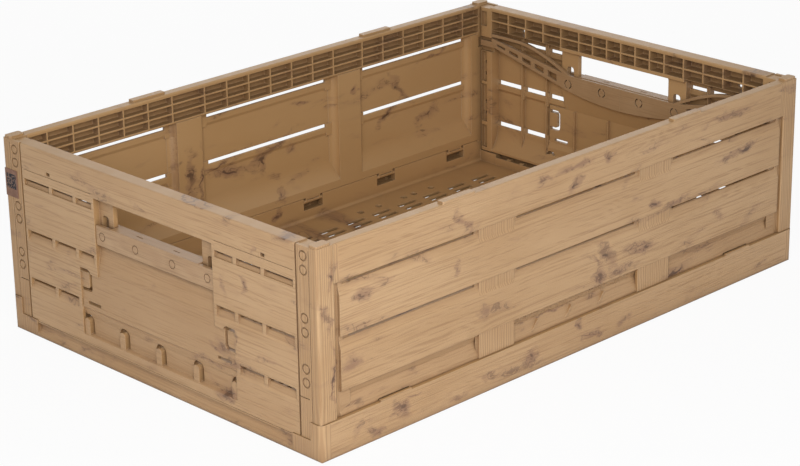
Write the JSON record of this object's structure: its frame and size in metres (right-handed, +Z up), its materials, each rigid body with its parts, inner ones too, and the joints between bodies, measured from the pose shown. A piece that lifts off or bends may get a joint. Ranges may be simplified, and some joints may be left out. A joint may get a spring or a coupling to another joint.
{
  "type": "folding crate",
  "caption": "Open-topped folding crate with timber-look moulded board walls, hinged end walls with sprung lift locks and hand holes, and a ribbed tray base with drain slots.",
  "frame": {"origin": "middle of the underside, at the height of the surface that the crate stands on", "axes": "+X along the long walls, +Y along the end walls, +Z up; the front wall faces -Y and the left end wall faces -X"},
  "size_m": [0.6, 0.4, 0.18],
  "materials": {
    "tray": "tan moulded plastic with a fine timber grain and brown-violet knots",
    "boards": "tan moulded plastic with raised timber grain along each board and brown-violet knots",
    "lock": "smooth tan moulded plastic, a little greyer than the boards",
    "label": "brown in-mould label with a plain block pattern"
  },
  "bodies": {
    "crate": {"base_tray": "tray", "long_wall_front": "boards", "long_wall_back": "boards", "data_label": "label"},
    "end_left": {"end_wall_left": "boards"},
    "end_right": {"end_wall_right": "boards"},
    "lock_left": {"grip_cover_left": "lock", "spring_bow_left": "lock"},
    "lock_right": {"grip_cover_right": "lock", "spring_bow_right": "lock"}
  },
  "joints": [
    {"name": "end_left_fold", "type": "hinge", "parent": "crate", "child": "end_left", "pos_m": [-0.2885, 0, 0.017], "axis": [0, 1, 0], "range_deg": [0, 90]},
    {"name": "end_right_fold", "type": "hinge", "parent": "crate", "child": "end_right", "pos_m": [0.2885, 0, 0.017], "axis": [0, -1, 0], "range_deg": [0, 90]},
    {"name": "lock_left_lift", "type": "slide", "parent": "end_left", "child": "lock_left", "axis": [0, 0, 1], "range_m": [0, 0.009], "stiffness_N_per_m": 1500, "deforming": ["spring_bow_left"]},
    {"name": "lock_right_lift", "type": "slide", "parent": "end_right", "child": "lock_right", "axis": [0, 0, 1], "range_m": [0, 0.009], "stiffness_N_per_m": 1500, "deforming": ["spring_bow_right"]}
  ]
}
